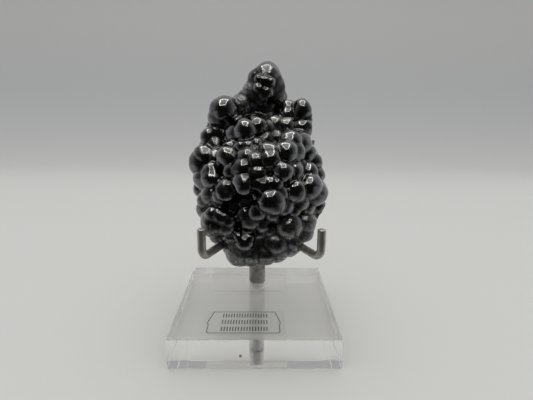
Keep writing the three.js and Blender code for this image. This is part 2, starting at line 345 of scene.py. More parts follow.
def add_piece(name, mesh, finish, node):
    """Puts a finished mesh in the scene in place of a CAD node."""
    mesh.transform(Matrix.Scale(MM, 4))
    mesh.materials.clear()
    mesh.materials.append(finish)
    piece = bpy.data.objects.new(name, mesh)
    bpy.context.scene.collection.objects.link(piece)
    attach(piece, "root")
    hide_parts(node)
    return piece


def to_mesh(shape):
    """A mesh from a bmesh, with every face turned outwards."""
    bmesh.ops.recalc_face_normals(shape, faces=shape.faces)
    mesh = bpy.data.meshes.new("shape")
    shape.to_mesh(mesh)
    shape.free()
    return mesh


def modified(mesh, kind, **settings):
    """The mesh that a modifier makes of a mesh."""
    holder = bpy.data.objects.new("bench", mesh)
    bpy.context.scene.collection.objects.link(holder)
    modifier = holder.modifiers.new("work", kind)
    for name, value in settings.items():
        setattr(modifier, name, value)
    graph = bpy.context.evaluated_depsgraph_get()
    result = bpy.data.meshes.new_from_object(holder.evaluated_get(graph))
    bpy.data.objects.remove(holder)
    return result


def without(mesh, cutter):
    """A mesh with another one cut out of it."""
    tool = bpy.data.objects.new("cutter", cutter)
    bpy.context.scene.collection.objects.link(tool)
    result = modified(mesh, "BOOLEAN", object=tool, operation="DIFFERENCE", solver="MANIFOLD")
    bpy.data.objects.remove(tool)
    return result


def turned(outline, sides):
    """A round shape about the Z axis, spun from its (radius, height) outline, as a bmesh."""
    shape = bmesh.new()
    points = [shape.verts.new((radius, 0, height)) for radius, height in outline]
    edges = [shape.edges.new(pair) for pair in zip(points, points[1:])]
    bmesh.ops.spin(
        shape, geom=points + edges, cent=(0, 0, 0), axis=(0, 0, 1), angle=2 * math.pi,
        steps=sides, use_merge=True,
    )
    bmesh.ops.remove_doubles(shape, verts=shape.verts, dist=1e-4)
    return shape


def draw_out(shape, rim, move, swell=1):
    """Draws a rim of edges out along a vector, and returns the new rim."""
    made = bmesh.ops.extrude_edge_only(shape, edges=rim)["geom"]
    points = [part for part in made if isinstance(part, bmesh.types.BMVert)]
    bmesh.ops.translate(shape, vec=move, verts=points)
    middle = sum((point.co for point in points), Vector()) / len(points)
    bmesh.ops.scale(
        shape, vec=(swell, swell, swell), verts=points, space=Matrix.Translation(-middle)
    )
    return [
        part for part in made
        if isinstance(part, bmesh.types.BMEdge) and all(end in points for end in part.verts)
    ]


def bend(shape, rim, centre, axis, angle, steps):
    """Bends a rim of edges round an axis, and returns the new rim."""
    points = list({end for edge in rim for end in edge.verts})
    made = bmesh.ops.spin(
        shape, geom=points + rim, cent=centre, axis=axis, angle=angle, steps=steps
    )["geom_last"]
    return [part for part in made if isinstance(part, bmesh.types.BMEdge)]


def close_ends(shape, ease):
    """Closes the open ends of a rod and eases their rims."""
    ends = bmesh.ops.holes_fill(shape, edges=[e for e in shape.edges if e.is_boundary])["faces"]
    rims = list({edge for face in ends for edge in face.edges})
    bmesh.ops.bevel(
        shape, geom=rims, offset=ease, segments=3, profile=0.5, affect="EDGES", material=-1
    )


def shade(mesh, angle=CRISP_ANGLE):
    """Smooth shading, with a crisp line wherever two faces meet at more than the angle."""
    mesh.shade_smooth()
    mesh.set_sharp_from_angle(angle=math.radians(angle))
    return mesh


# ---------------------------------------------------------------- tools for finishes

class Value:
    """A number, colour or vector on its way through a finish. Arithmetic adds Math nodes."""

    def __init__(self, finish, socket):
        self.finish = finish
        self.socket = socket

    def math(self, operation, *others):
        """What a Math node makes of this value and others."""
        sockets = dict(enumerate((self, *others)))
        return self.finish.node("ShaderNodeMath", {"operation": operation}, sockets)

    def __add__(self, other):
        return self.math("ADD", other)

    def __sub__(self, other):
        return self.math("SUBTRACT", other)

    def __mul__(self, other):
        return self.math("MULTIPLY", other)

    def __rsub__(self, other):
        return self * -1 + other

    __radd__ = __add__
    __rmul__ = __mul__

    def absolute(self):
        return self.math("ABSOLUTE")

    def highest(self, other):
        return self.math("MAXIMUM", other)

    def lowest(self, other):
        return self.math("MINIMUM", other)

    def rise(self, low, high):
        """0 below low, 1 above high, and a smooth step between them."""
        sockets = {"Value": self, "From Min": low, "From Max": high}
        return self.finish.node(
            "ShaderNodeMapRange", {"interpolation_type": "SMOOTHSTEP"}, sockets
        )


class Finish:
    """A material, and the one method that makes its nodes."""

    def __init__(self, name):
        self.material = bpy.data.materials.new(name)
        self.material.use_nodes = True
        self.tree = self.material.node_tree
        self.tree.nodes.clear()

    def node(self, kind, settings=None, sockets=None, output=0):
        """One output of a new node, whose settings and then sockets are set or linked."""
        made = self.tree.nodes.new(kind)
        for name, value in (settings or {}).items():
            setattr(made, name, value)
        for key, value in (sockets or {}).items():
            if isinstance(value, Value):
                self.tree.links.new(value.socket, made.inputs[key])
            else:
                made.inputs[key].default_value = value
        return Value(self, made.outputs[output])

    def place(self):
        """Object coordinates, in metres."""
        return self.node("ShaderNodeTexCoord", output="Object")

    def millimetres(self):
        """The x, y and z of the place on the object, in millimetres."""
        apart = self.node("ShaderNodeSeparateXYZ", sockets={"Vector": self.place()})
        sockets = apart.socket.node.outputs
        return [Value(self, sockets[axis]) * (1 / MM) for axis in "XYZ"]

    def stretched(self, x, y, z):
        """Object coordinates stretched along each axis, for streaks."""
        return self.node(
            "ShaderNodeMapping", sockets={"Vector": self.place(), "Scale": (1 / x, 1 / y, 1 / z)}
        )

    def noise(self, size, detail=2, place=None):
        """Noise from 0 to 1 with marks about size millimetres across."""
        sockets = {"Vector": place or self.place(), "Scale": 1 / (size * MM), "Detail": detail}
        return self.node("ShaderNodeTexNoise", sockets=sockets)

    def cells(self, size):
        """How far a place is from the edge of its cell, as a share, in cells of about size
        millimetres with a little sway."""
        sway = self.noise(size * 1.5, 3)
        place = self.node("ShaderNodeVectorMath", {"operation": "ADD"}, {
            0: self.place(),
            1: sway * (size * MM),
        })
        return self.node(
            "ShaderNodeTexVoronoi", {"feature": "DISTANCE_TO_EDGE"},
            {"Vector": place, "Scale": 1 / (size * MM)},
        )

    def mix(self, factor, first, second):
        """A colour between two colours."""
        return self.node(
            "ShaderNodeMix", {"data_type": "RGBA"}, {0: factor, 6: first, 7: second}, 2
        )

    def attribute(self, name):
        """A number that the mesh carries at its points."""
        return self.node("ShaderNodeAttribute", {"attribute_name": name}, output="Fac")

    def bump(self, height, depth, below=None):
        """A bumped normal. Height runs from 0 to 1 and stands for depth millimetres."""
        sockets = {"Height": height, "Distance": depth * MM, "Strength": 1}
        if below:
            sockets["Normal"] = below
        return self.node("ShaderNodeBump", sockets=sockets)

    def principled(self, **sockets):
        """A surface, from its sockets' names with _ for a space."""
        named = {name.replace("_", " "): value for name, value in sockets.items()}
        return self.node("ShaderNodeBsdfPrincipled", sockets=named)

    def done(self, surface):
        """The finished material."""
        output = self.tree.nodes.new("ShaderNodeOutputMaterial")
        self.tree.links.new(surface.socket, output.inputs["Surface"])
        return self.material


# ---------------------------------------------------------------- finishes

def ore_finish():
    """Mirror-black hematite with satin places painted lighter as sheen, shade painted into its
    creases and a rough, banded break.
    """
    ore = Finish("mirror_black_hematite")
    broken = ore.attribute("broken")
    crease = ore.attribute("crease").rise(0.2, 0.6)
    depth = ore.attribute("depth")
    x, _y, z = ore.millimetres()
    low_gloss = ore.noise(5, 3).rise(0.46, 0.7)
    specks = ore.noise(0.7, 2).rise(0.62, 0.75)
    tone = ore.noise(3.5, 2) * 0.6 + ore.noise(0.6, 3) * 0.4
    skin = ore.mix(tone.rise(0.3, 0.7), SKIN_DARK, SKIN_PALE)
    # Painted shade darkens the creases between lumps, in part standing for the dark joints where
    # they meet.
    skin = ore.mix(crease * 0.85, skin, SKIN_JOINT_AND_CREASE_SHADE)
    rust = ore.noise(4, 4).rise(0.5, 0.7)
    fresh = ore.mix(ore.noise(0.8, 3), BREAK_DARK, BREAK_PALE)
    fresh = ore.mix(rust * 0.7, fresh, BREAK_RUST)
    bands = (depth * BANDING + ore.noise(2.5, 2) * BAND_SWAY).math("SINE") * 0.5 + 0.5
    fresh = ore.mix(bands * 0.35, fresh, BREAK_BAND)
    cloud = ore.noise(3, 3).rise(0.35, 0.65)
    satin = (1 - z.rise(*SATIN_BELOW)) * (0.55 + cloud * 0.45)
    for patch_x, patch_z, radius, lustre in PATCHES:
        away = ((x - patch_x).math("POWER", 2) + (z - patch_z).math("POWER", 2)).math("SQRT")
        satin = satin + (1 - away.rise(radius * 0.5, radius)) * (lustre - satin)
    # Painted sheen: satin places are painted lighter, on top of their duller lustre in the
    # roughness.
    skin = ore.mix(satin * (1 - crease) * 0.35, skin, PAINTED_SATIN_SHEEN)
    cracks = 1 - ore.cells(CRACKS_APART).rise(0.02, 0.1)
    skin = ore.mix(cracks * (0.15 + satin * 0.55), skin, SKIN_CRACK)
    rough = MIRROR_ROUGHNESS + low_gloss * 0.15 + specks * 0.06 + satin * 0.22
    rough = rough + crease * 0.1 + broken * 0.4
    relief = ore.bump(ore.noise(1.8, 3), 0.08)
    relief = ore.bump(ore.noise(0.45, 3) * (0.12 + low_gloss * 0.3 + satin), 0.03, relief)
    hackle = ore.noise(0.5, 4) * 0.7 + bands * 0.3
    relief = ore.bump(hackle * broken, 0.12, relief)
    return ore.done(ore.principled(
        Base_Color=ore.mix(broken, skin, fresh),
        Metallic=1 - broken * 0.35,
        Roughness=rough,
        Normal=relief,
    ))


def steel_finish(name, light, dark, streak, rough):
    """Satin steel with fine drawn streaks and darker stains."""
    steel = Finish(name)
    stain = steel.noise(2.6, 4).rise(0.42, 0.66)
    drawn = steel.noise(0.25, 2, steel.stretched(*streak))
    colour = steel.mix(stain, (*light, 1), (*dark, 1))
    return steel.done(steel.principled(
        Base_Color=colour,
        Metallic=1.0,
        Roughness=rough + stain * 0.1 + drawn * 0.12,
        Normal=steel.bump(drawn, 0.01),
    ))


def acrylic_finish(sticker, speck):
    """Clear polished acrylic, with a pale sticker on its underside and one speck of dirt."""
    clear = Finish("clear_acrylic")
    x, y, z = clear.millimetres()
    (left, front), (right, back) = sticker
    inside = ((x - (left + right) / 2).absolute() - (right - left) / 2).highest(
        (y - (front + back) / 2).absolute() - (back - front) / 2
    )
    under = (1 - inside.rise(-0.1, 0.1)) * (1 - z.rise(0.02, 0.06))
    away = ((x - speck[0]).math("POWER", 2) + (z - speck[1]).math("POWER", 2)).math("SQRT")
    ragged = away + clear.noise(0.3, 2) * 0.35
    face = cad_size("base")[0].y
    dirt = (1 - ragged.rise(*SPECK_REACH)) * (1 - y.rise(face + 0.2, face + 0.3))
    sawn = clear.noise(3, 2, clear.stretched(3, 3, 1))
    off_axis = ((x - POST.x).math("POWER", 2) + (y - POST.y).math("POWER", 2)).math("SQRT")
    bored = (1 - off_axis.rise(HOLE_RADIUS + 0.05, HOLE_RADIUS + 0.1)) * z.rise(1, 1.2)
    glass = clear.principled(
        Base_Color=(1, 1, 1, 1),
        Roughness=bored * HOLE_FROST,
        IOR=ACRYLIC_IOR,
        Transmission_Weight=1.0,
        Normal=clear.bump(sawn, 0.002),
    )
    paper = clear.principled(
        Base_Color=clear.mix(clear.noise(4, 2), *STICKER_COLOURS), Roughness=0.7
    )
    brown = clear.principled(Base_Color=SPECK_COLOUR, Roughness=0.8)
    surface = clear.node("ShaderNodeMixShader", sockets={0: under, 1: glass, 2: paper})
    surface = clear.node("ShaderNodeMixShader", sockets={0: dirt, 1: surface, 2: brown})
    return clear.done(surface)


def film_finish():
    """A clear film printed with a plain frame round three rows of tick marks."""
    film = Finish("printed_film")
    low, high = cad_size("label")
    x, y, z = film.millimetres()
    across = x - (low.x + high.x) / 2
    along = y - (low.y + high.y) / 2
    u = across.absolute()
    v = along.absolute()
    point = (FRAME_POINT - v).highest(0)
    corner = (u + v - (FRAME_HALF.x + FRAME_HALF.y - FRAME_CORNER)) * math.sqrt(0.5)
    slope = Vector((FRAME_HALF.y - FRAME_SLOPE_FROM, FRAME_SLOPE_IN)).normalized()
    far_corner = (u - FRAME_HALF.x) * slope.x + (along - FRAME_SLOPE_FROM) * slope.y
    outline = (u - point - FRAME_HALF.x).highest(v - FRAME_HALF.y).highest(corner)
    outline = outline.highest(far_corner)
    border = 1 - (outline + FRAME_LINE / 2).absolute().rise(FRAME_LINE * 0.35, FRAME_LINE * 0.65)
    row = v.lowest((v - ROW_APART).absolute())
    tick = (across * (2 * math.pi / TICK_APART)).math("SINE").rise(-0.1, 0.4)
    rows = tick * (1 - row.rise(TICK_HALF, TICK_HALF + 0.1))
    rows = rows * (1 - u.rise(ROW_HALF, ROW_HALF + 0.1))
    print_only = border.highest(rows) * z.rise(high.z - 0.08, high.z - 0.04)
    worn = print_only * (0.72 + film.noise(0.8, 3) * 0.4)
    return film.done(film.principled(
        Base_Color=film.mix(print_only, FILM_COLOUR, INK_COLOUR),
        Roughness=0.25 + film.noise(1.5, 2) * 0.15,
        Alpha=0.03 + worn * 0.9,
    ))


# ---------------------------------------------------------------- the stone

def waves(points, size, seed, count=18):
    """Smooth seeded noise, mostly from -1 to 1, whose hills lie about size apart."""
    draw = np.random.default_rng(seed)
    way = draw.normal(size=(count, 3))
    spread = draw.uniform(0.6, 1.4, (count, 1))
    way *= 2 * np.pi / size * spread / np.linalg.norm(way, axis=1)[:, None]
    turn = draw.uniform(0, 2 * np.pi, count)
    return np.sin(points @ way.T + turn).sum(axis=1) / np.sqrt(count)


def gaps():
    """Places where a ball of radius WEB would bridge a gap between lumps, and the way out there."""
    ball = bmesh.new()
    bmesh.ops.create_icosphere(ball, subdivisions=5, radius=1)
    ways = np.array([corner.co for corner in ball.verts])
    ball.free()
    lumps = np.array(LUMPS)
    places = []
    outs = []
    for *centre, radius in LUMPS:
        points = np.array(centre) + ways * (radius + WEB)
        arms = points[:, None] - lumps[:, :3]
        reach = np.linalg.norm(arms, axis=2)
        clear = reach - lumps[:, 3] - WEB
        near = clear < WEB_NEAR
        bridge = (clear.min(axis=1) > -1e-6) & (near.sum(axis=1) > 1)
        out = (arms / reach[..., None] * near[..., None]).sum(axis=1)[bridge]
        out /= np.linalg.norm(out, axis=1)[:, None]
        places.append(points[bridge] - WEB * out)
        outs.append(out)
    return np.concatenate(places), np.concatenate(outs)


def with_young_lumps():
    """All the lumps, with young ones grown in the gaps between them, deepest gap first."""
    places, outs = gaps()
    whole = (chipped(places)[0] < 0) & (np.linalg.norm(places - NECK, axis=1) > NECK_RADIUS)
    places, outs = places[whole], outs[whole]
    lumps = np.array(LUMPS)
    depth = np.full(len(places), np.inf)
    for x, y, z, radius in LUMPS:
        depth = np.minimum(depth, np.linalg.norm(places - (x, y, z), axis=1) - radius)
    draw = np.random.default_rng(YOUNG_SEED)
    grown = [tuple(lump) for lump in lumps]
    while depth.max() > YOUNG_DEPTH:
        spot = depth.argmax()
        radius = YOUNG_LEAST + depth[spot] * draw.uniform(*YOUNG_SPREAD)
        radius = np.clip(radius, YOUNG_LEAST, YOUNG_MOST)
        centre = places[spot] - outs[spot] * (radius + YOUNG_SINK)
        depth = np.minimum(depth, np.linalg.norm(places - centre, axis=1) - radius)
        depth[spot] = 0
        grown.append((*centre, radius))
    return grown


def skin(points, lumps):
    """How far points lie outside the joined lumps, the way out, and how creased each place is."""
    total = np.zeros(len(points))
    wide_total = np.zeros(len(points))
    wide_most = np.zeros(len(points))
    way = np.zeros_like(points)
    for *centre, radius in lumps:
        arm = points - centre
        reach = np.linalg.norm(arm, axis=1)
        weight = np.exp((radius - reach) / BLEND)
        total += weight
        way += arm * (weight / reach)[:, None]
        wide = np.exp((radius - reach) / CREASE)
        wide_total += wide
        wide_most = np.maximum(wide_most, wide)
    return -BLEND * np.log(total), way / total[:, None], 1 - wide_most / wide_total


def hackle(points):
    """How much deeper than its plane the break runs, in ridges and hollows."""
    coarse = 1 - np.abs(waves(points, *HACKLE_COARSE))
    fine = 1 - np.abs(waves(points, *HACKLE_FINE))
    return HACKLE * np.clip(0.5 + 0.55 * coarse + 0.3 * fine, 0, 1.6)


def chipped(points):
    """How far points lie inside the pieces that came away, and the way the new surface faces."""
    deepest = np.full(len(points), -np.inf)
    way = np.zeros_like(points)
    for place, faces, width in BREAKS:
        turn = np.array(Vector((0, 0, 1)).rotation_difference(Vector(faces)).to_matrix())
        local = (points - place) @ turn
        margins = np.column_stack([width / 2 - np.abs(local[:, :2]), local[:, 2]])
        nearest = margins.argmin(axis=1)
        inside = margins.min(axis=1)
        towards = np.column_stack([-np.sign(local[:, :2]), np.ones(len(points))])
        new_way = (np.eye(3)[nearest] * towards) @ turn.T
        deeper = inside > deepest
        deepest = np.where(deeper, inside, deepest)
        way[deeper] = new_way[deeper]
    return deepest + hackle(points), way


def beside_rods(points):
    """How far points lie inside the room that the stone leaves round the arms, and the way in."""
    deepest = np.full(len(points), -np.inf)
    way = np.zeros_like(points)
    for start, corner, _tip in ARM_PATHS:
        run = np.array(corner - start)
        share = np.clip((points - start) @ run / (run @ run), 0, 1)
        to_rod = share[:, None] * run - (points - start)
        reach = np.linalg.norm(to_rod, axis=1)
        inside = ROD_RADIUS + ROD_ROOM - reach
        deeper = inside > deepest
        deepest = np.where(deeper, inside, deepest)
        way[deeper] = (to_rod / reach[:, None])[deeper]
    return deepest, way


def rod_groove(start, corner, _tip):
    """The room round one arm's level run, as a mesh."""
    shape = bmesh.new()
    run = corner - start
    turn = Vector((0, 0, 1)).rotation_difference(run).to_matrix().to_4x4()
    bmesh.ops.create_cone(
        shape, cap_ends=True, segments=ROD_SIDES, radius1=ROD_RADIUS + ROD_ROOM,
        radius2=ROD_RADIUS + ROD_ROOM, depth=run.length,
        matrix=Matrix.Translation((start + corner) / 2) @ turn,
    )
    return to_mesh(shape)


def chip(place, faces, width):
    """The piece that came away at one break, as a mesh."""
    shape = bmesh.new()
    turn = Vector((0, 0, 1)).rotation_difference(Vector(faces)).to_matrix().to_4x4()
    middle = Matrix.Translation((0, 0, width / 2))
    bmesh.ops.create_cube(shape, size=width, matrix=Matrix.Translation(place) @ turn @ middle)
    return to_mesh(shape)


def settle(points, lumps):
    """Points moved on to the stone's surface, and where it is broken, how creased and how deep."""
    sway = np.column_stack([waves(points, WARP_SIZE, seed) for seed in WARP_SEEDS])
    grown, grown_way, crease = skin(points + WARP * sway, lumps)
    grown += RIPPLE * waves(points, RIPPLE_SIZE, RIPPLE_SEED, RIPPLE_WAVES)
    inside, inside_way = chipped(points)
    broken = inside > grown
    gap = np.where(broken, inside, grown)
    way = np.where(broken[:, None], inside_way, grown_way)
    by_rod, rod_way = beside_rods(points)
    way = np.where((by_rod > gap)[:, None], rod_way, way)
    gap = np.maximum(gap, by_rod)
    steep = np.maximum((way * way).sum(axis=1), 0.25)
    step = np.clip(gap / steep, -GRAIN, GRAIN)
    return points - way * step[:, None], broken, crease, -grown


def stone():
    """The whole stone: lumps joined, pieces broken away, and every point settled on its surface."""
    lumps = with_young_lumps()
    shape = bmesh.new()
    for *centre, radius in lumps:
        bmesh.ops.create_icosphere(
            shape, subdivisions=4, radius=radius, matrix=Matrix.Translation(centre)
        )
    mesh = modified(to_mesh(shape), "REMESH", mode="VOXEL", voxel_size=GRAIN)
    for piece in BREAKS:
        mesh = without(mesh, chip(*piece))
    for path in ARM_PATHS:
        mesh = without(mesh, rod_groove(*path))
    mesh = modified(mesh, "REMESH", mode="VOXEL", voxel_size=GRAIN)
    shape = bmesh.new()
    shape.from_mesh(mesh)
    for _ in range(SETTLINGS):
        bmesh.ops.smooth_vert(
            shape, verts=shape.verts, factor=SMOOTHING,
            use_axis_x=True, use_axis_y=True, use_axis_z=True,
        )
        points = np.array([point.co for point in shape.verts])
        for _ in range(STEPS_PER_SETTLING):
            points, broken, crease, depth = settle(points, lumps)
        for point, place in zip(shape.verts, points):
            point.co = place
    mesh = to_mesh(shape)
    for name, values in (("broken", broken), ("crease", crease), ("depth", depth)):
        carried = mesh.attributes.new(name, "FLOAT", "POINT")
        carried.data.foreach_set("value", values.astype(np.float32))
    mesh.shade_smooth()
    return mesh


# ---------------------------------------------------------------- the stand

def clear_block():
    """The block, with its edges eased and the stud's hole bored into its top."""
    low, high = cad_size("base")
    shape = bmesh.new()
    bmesh.ops.create_cube(shape, size=1)
    bmesh.ops.scale(shape, vec=high - low, verts=shape.verts)
    bmesh.ops.translate(shape, vec=(low + high) / 2, verts=shape.verts)
    bmesh.ops.bevel(
        shape, geom=shape.edges, offset=BLOCK_EDGE, segments=4, profile=0.5, affect="EDGES",
        material=-1,
    )
    hole = [(0, HOLE_FLOOR), (HOLE_RADIUS, HOLE_FLOOR), (HOLE_RADIUS, DRILL_TOP), (0, DRILL_TOP)]
    drill = turned(hole, POST_SIDES)
    bmesh.ops.translate(drill, vec=(POST.x, POST.y, 0), verts=drill.verts)
    return shade(without(to_mesh(shape), to_mesh(drill)), BLOCK_CRISP_ANGLE)


def post():
    """The post, turned from bar: eased ends, fine tool marks, a tap below and a bore above."""
    low, high = cad_size("post")
    radius = (high.x - low.x) / 2
    bottom = low.z + AIR
    outline = [(0, TAP_TOP), (TAP_RADIUS, TAP_TOP), (TAP_RADIUS, bottom)]
    outline += [(radius - POST_EDGE / 2, bottom), (radius, bottom + POST_EDGE / 2)]
    mark = bottom + MARKS_FROM_END
    while mark < high.z - MARKS_FROM_END:
        outline += [(radius, mark), (radius - MARK_DEPTH, mark + MARKS_APART / 2)]
        mark += MARKS_APART
    outline += [(radius, high.z - POST_EDGE), (radius - POST_EDGE, high.z)]
    bore_floor = high.z - BORE_DEPTH
    outline += [(BORE_RADIUS, high.z), (BORE_RADIUS, bore_floor), (0, bore_floor)]
    shape = turned(outline, POST_SIDES)
    bmesh.ops.translate(shape, vec=(POST.x, POST.y, 0), verts=shape.verts)
    return shade(to_mesh(shape))


def stud():
    """The threaded stud between the post and the block, with the key's socket in its top."""
    low, high = cad_size("stud")
    radius = (high.x - low.x) / 2
    outline = [(0, low.z), (radius - STUD_THREAD, low.z)]
    turn = low.z + STUD_PITCH / 2
    while turn < high.z - STUD_PITCH:
        outline += [(radius, turn), (radius - STUD_THREAD, turn + STUD_PITCH / 2)]
        turn += STUD_PITCH
    socket_floor = high.z - SOCKET_DEPTH
    outline += [(radius - STUD_THREAD, high.z), (SOCKET_RADIUS, high.z)]
    outline += [(SOCKET_RADIUS, socket_floor), (0, socket_floor)]
    shape = turned(outline, POST_SIDES)
    bmesh.ops.translate(shape, vec=(POST.x, POST.y, 0), verts=shape.verts)
    return shade(to_mesh(shape), THREAD_CRISP_ANGLE)


def arm_path(node):
    """The middle line of an arm: its start in the post, its corner and its tip."""
    low, high = cad_size(node)
    left = POST.x - low.x > high.x - POST.x
    tip_x = low.x + ROD_RADIUS if left else high.x - ROD_RADIUS
    tip = Vector((tip_x, low.y + ROD_RADIUS, high.z))
    level = low.z + ROD_RADIUS
    return Vector((POST.x, POST.y, level)), Vector((tip.x, tip.y, level)), tip


def arm(start, corner, tip):
    """A rod that runs out from the post and bends up into a prong, brazed on where it starts."""
    level = start.z
    run = (corner - start).length
    shape = bmesh.new()
    on_side = Matrix.Rotation(math.pi / 2, 4, "Y")
    bmesh.ops.create_circle(
        shape, segments=ROD_SIDES, radius=ROD_RADIUS * BRAZE_SWELL,
        matrix=Matrix.Translation((BRAZE_START, 0, level)) @ on_side,
    )
    rim = draw_out(shape, list(shape.edges), (BRAZE_STEPS[0], 0, 0), BRAZE_SHOULDER)
    rim = draw_out(shape, rim, (BRAZE_STEPS[1], 0, 0), 1 / (BRAZE_SWELL * BRAZE_SHOULDER))
    rim = draw_out(shape, rim, (run - BEND_RADIUS - BRAZE_START - sum(BRAZE_STEPS), 0, 0))
    rim = bend(shape, rim, (run - BEND_RADIUS, 0, level + BEND_RADIUS), (0, 1, 0), -math.pi / 2, 16)
    draw_out(shape, rim, (0, 0, tip.z - level - BEND_RADIUS))
    close_ends(shape, ROD_END_EASE)
    heading = math.atan2(tip.y - start.y, tip.x - start.x)
    place = Matrix.Translation((POST.x, POST.y, 0)) @ Matrix.Rotation(heading, 4, "Z")
    bmesh.ops.transform(shape, matrix=place, verts=shape.verts)
    return shade(to_mesh(shape))


def back_rest():
    """The third rod, up out of the post's bore and leaning forward on to the stone's back."""
    low, high = cad_size("back_rest")
    shape = bmesh.new()
    bmesh.ops.create_circle(
        shape, segments=ROD_SIDES, radius=ROD_RADIUS, matrix=Matrix.Translation((0, 0, low.z))
    )
    half_bend = REST_BEND_RADIUS * math.tan(REST_LEAN / 2)
    rim = draw_out(shape, list(shape.edges), (0, 0, REST_KNEE - half_bend - low.z))
    centre = (0, -REST_BEND_RADIUS, REST_KNEE - half_bend)
    rim = bend(shape, rim, centre, (1, 0, 0), REST_LEAN, 10)
    lean = Vector((0, -math.sin(REST_LEAN), math.cos(REST_LEAN)))
    upper = (high.z - REST_KNEE) / math.cos(REST_LEAN) - half_bend
    draw_out(shape, rim, lean * (upper - REST_SHORT))
    close_ends(shape, REST_END_EASE)
    bmesh.ops.translate(shape, vec=(POST.x, POST.y, 0), verts=shape.verts)
    return shade(to_mesh(shape))


def film():
    """The printed film, lying on the block."""
    low, high = cad_size("label")
    low.z += AIR
    shape = bmesh.new()
    bmesh.ops.create_cube(shape, size=1)
    bmesh.ops.scale(shape, vec=high - low, verts=shape.verts)
    bmesh.ops.translate(shape, vec=(low + high) / 2, verts=shape.verts)
    upright = [edge for edge in shape.edges if abs(edge.verts[0].co.z - edge.verts[1].co.z) > AIR]
    bmesh.ops.bevel(
        shape, geom=upright, offset=FILM_CORNER, segments=8, profile=0.5, affect="EDGES",
        material=-1,
    )
    return to_mesh(shape)


# ---------------------------------------------------------------- the studio

def stage_piece(name, shape, finish):
    """Puts a finished shape in the scene as part of the studio."""
    mesh = to_mesh(shape)
    mesh.transform(Matrix.Scale(MM, 4))
    mesh.materials.append(finish)
    mesh.shade_smooth()
    thing = bpy.data.objects.new(name, mesh)
    bpy.context.scene.collection.objects.link(thing)
    return thing


def sweep():
    """A pale floor that curves up into a backdrop, with shade painted on to the curve and the wall.
    """
    shape = bmesh.new()
    start = shape.verts.new((-SWEEP_HALF_WIDTH, SWEEP_FRONT, -SWEEP_DROP))
    edge_start = shape.verts.new((-SWEEP_HALF_WIDTH, SWEEP_BACK, -SWEEP_DROP))
    edges = [shape.edges.new((start, edge_start))]
    turned_up = bmesh.ops.spin(
        shape, geom=[edge_start], cent=(-SWEEP_HALF_WIDTH, SWEEP_BACK, SWEEP_CURVE), axis=(1, 0, 0),
        angle=math.pi / 2, steps=SWEEP_STEPS,
    )["geom_last"]
    top = shape.verts.new((-SWEEP_HALF_WIDTH, SWEEP_BACK + SWEEP_CURVE, SWEEP_TOP))
    shape.edges.new((turned_up[0], top))
    made = bmesh.ops.extrude_edge_only(shape, edges=shape.edges)["geom"]
    points = [part for part in made if isinstance(part, bmesh.types.BMVert)]
    bmesh.ops.translate(shape, vec=(2 * SWEEP_HALF_WIDTH, 0, 0), verts=points)
    bmesh.ops.remove_doubles(shape, verts=shape.verts, dist=0.01)
    paper = Finish("sweep")
    _x, y, z = paper.millimetres()
    # Painted shade: the wall is darker than the floor, a little lighter higher up and darker again
    # at the top.
    wall = paper.mix(z.rise(*SWEEP_UPPER), SWEEP_WALL_PAINTED_SHADE, SWEEP_UPPER_PAINTED_SHADE)
    wall = paper.mix(z.rise(*SWEEP_HIGH), wall, SWEEP_HIGH_PAINTED_SHADE)
    return stage_piece("sweep", shape, paper.done(paper.principled(
        Base_Color=paper.mix(y.rise(*SWEEP_SHADE), SWEEP_FLOOR_COLOUR, wall),
        Roughness=0.8,
    )))


def card(name, outline, start, angle, finish):
    """A card curved round the stand, which only glossy surfaces see. The outline is in (radius,
    height), and the card runs from the start angle, measured from the front, over the angle."""
    shape = bmesh.new()
    points = [shape.verts.new((0, -radius, height)) for radius, height in outline]
    edges = [shape.edges.new(pair) for pair in zip(points, points[1:])]
    bmesh.ops.rotate(
        shape, cent=(0, 0, 0), verts=points, matrix=Matrix.Rotation(start, 3, "Z")
    )
    bmesh.ops.spin(
        shape, geom=points + edges, cent=(0, 0, 0), axis=(0, 0, 1), angle=angle, steps=CARD_STEPS
    )
    thing = stage_piece(name, shape, finish)
    thing.visible_camera = False
    thing.visible_diffuse = False
    thing.visible_transmission = False
    thing.visible_shadow = False


def painted_shade_front():
    """Painted shade in front of the stand: a black card for the dark opening, with an apron that
    stands for the shade under the stone, and soft edges.
    """
    black = Finish("painted_shade_card")
    x, y, _z = black.millimetres()
    away = (x * x + y * y).math("SQRT")
    aside = x.absolute().math("ARCTAN2", y * -1)
    # The apron fades in from CARD_START near the stand: painted shade under the stone, for
    # reflections.
    near = away.rise(CARD_START, CARD_START + CARD_FADE)
    side = 1 - aside.rise(CARD_HALF_ANGLE - CARD_SOFT_ANGLE, CARD_HALF_ANGLE)
    inner_face = black.node("ShaderNodeNewGeometry", output="Backfacing")
    through_block = black.node("ShaderNodeLightPath", output="Transmission Depth").lowest(1)
    finish = black.done(black.principled(
        Base_Color=(0.004, 0.004, 0.004, 1), Roughness=1.0,
        Alpha=near * side * inner_face * (1 - through_block),
    ))
    outline = [(CARD_START, CARD_LIFT), (CARD_RADIUS, CARD_LIFT), (CARD_RADIUS, CARD_TOP)]
    card("painted_shade_card", outline, -CARD_HALF_ANGLE, 2 * CARD_HALF_ANGLE, finish)


